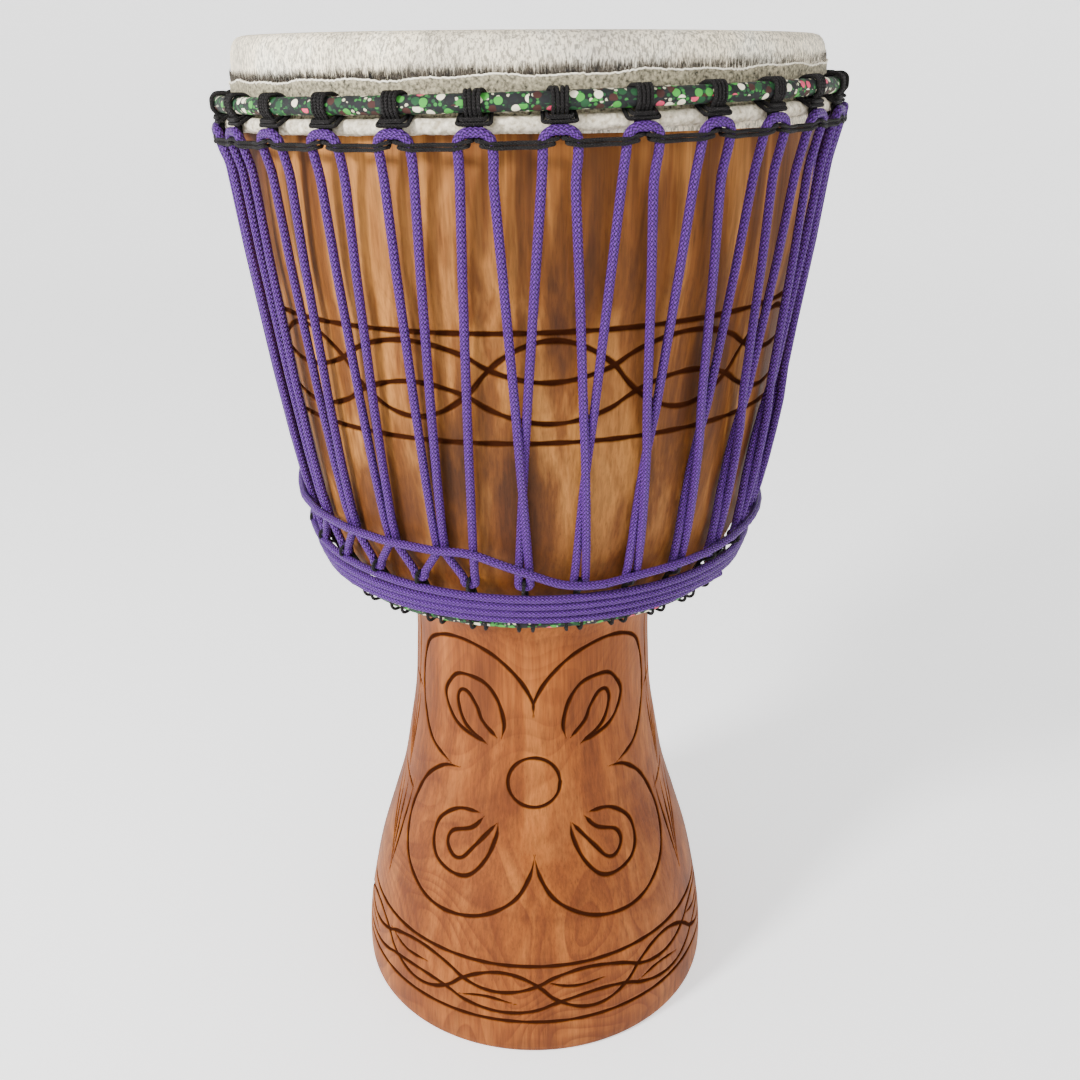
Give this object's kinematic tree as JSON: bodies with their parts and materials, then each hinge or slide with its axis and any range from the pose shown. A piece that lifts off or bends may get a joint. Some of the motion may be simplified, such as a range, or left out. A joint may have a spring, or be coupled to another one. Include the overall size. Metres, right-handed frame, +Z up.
{
  "type": "goblet drum",
  "caption": "Rope-tuned goblet hand drum: open carved wooden shell, goatskin head held by cloth-wrapped rings, braided tension rope with a row of pulled diamonds.",
  "frame": {"origin": "on the floor at the centre of the foot's rim", "axes": "+Z up along the drum's axis to the head, -Y towards the side with the carved flower, +X to the player's right when facing that side"},
  "size_m": [0.3451, 0.3454, 0.61],
  "materials": {
    "carved_wood": "oiled satin, carved grooves darker",
    "goatskin": "matte natural skin with short hair at the edge",
    "ring_steel": "mild steel rod",
    "printed_cloth": "printed cotton, dark ground with round spots",
    "black_cord": "braided cord",
    "tension_rope": "braided low-stretch rope"
  },
  "bodies": {
    "root": {"bottom_cradle_cord": "black_cord", "bottom_ring": "ring_steel", "bottom_ring_cloth": "printed_cloth", "crown_cradle_cord": "black_cord", "crown_ring": "ring_steel", "crown_ring_cloth": "printed_cloth", "diamond_weave_rope": "tension_rope", "flesh_ring": "ring_steel", "goatskin_head": "goatskin", "tension_rope_01": "tension_rope", "tension_rope_02": "tension_rope", "tension_rope_03": "tension_rope", "tension_rope_04": "tension_rope", "tension_rope_05": "tension_rope", "tension_rope_06": "tension_rope", "tension_rope_07": "tension_rope", "tension_rope_08": "tension_rope", "tension_rope_09": "tension_rope", "tension_rope_10": "tension_rope", "tension_rope_11": "tension_rope", "tension_rope_12": "tension_rope", "tension_rope_13": "tension_rope", "tension_rope_14": "tension_rope", "tension_rope_15": "tension_rope", "tension_rope_16": "tension_rope", "tension_rope_17": "tension_rope", "tension_rope_18": "tension_rope", "tension_rope_19": "tension_rope", "tension_rope_20": "tension_rope", "tension_rope_21": "tension_rope", "tension_rope_22": "tension_rope", "tension_rope_23": "tension_rope", "tension_rope_24": "tension_rope", "tension_rope_25": "tension_rope", "tension_rope_26": "tension_rope", "tension_rope_27": "tension_rope", "tension_rope_28": "tension_rope", "tension_rope_29": "tension_rope", "waist_wrap_rope": "tension_rope", "wooden_shell": "carved_wood"}
  },
  "joints": []
}
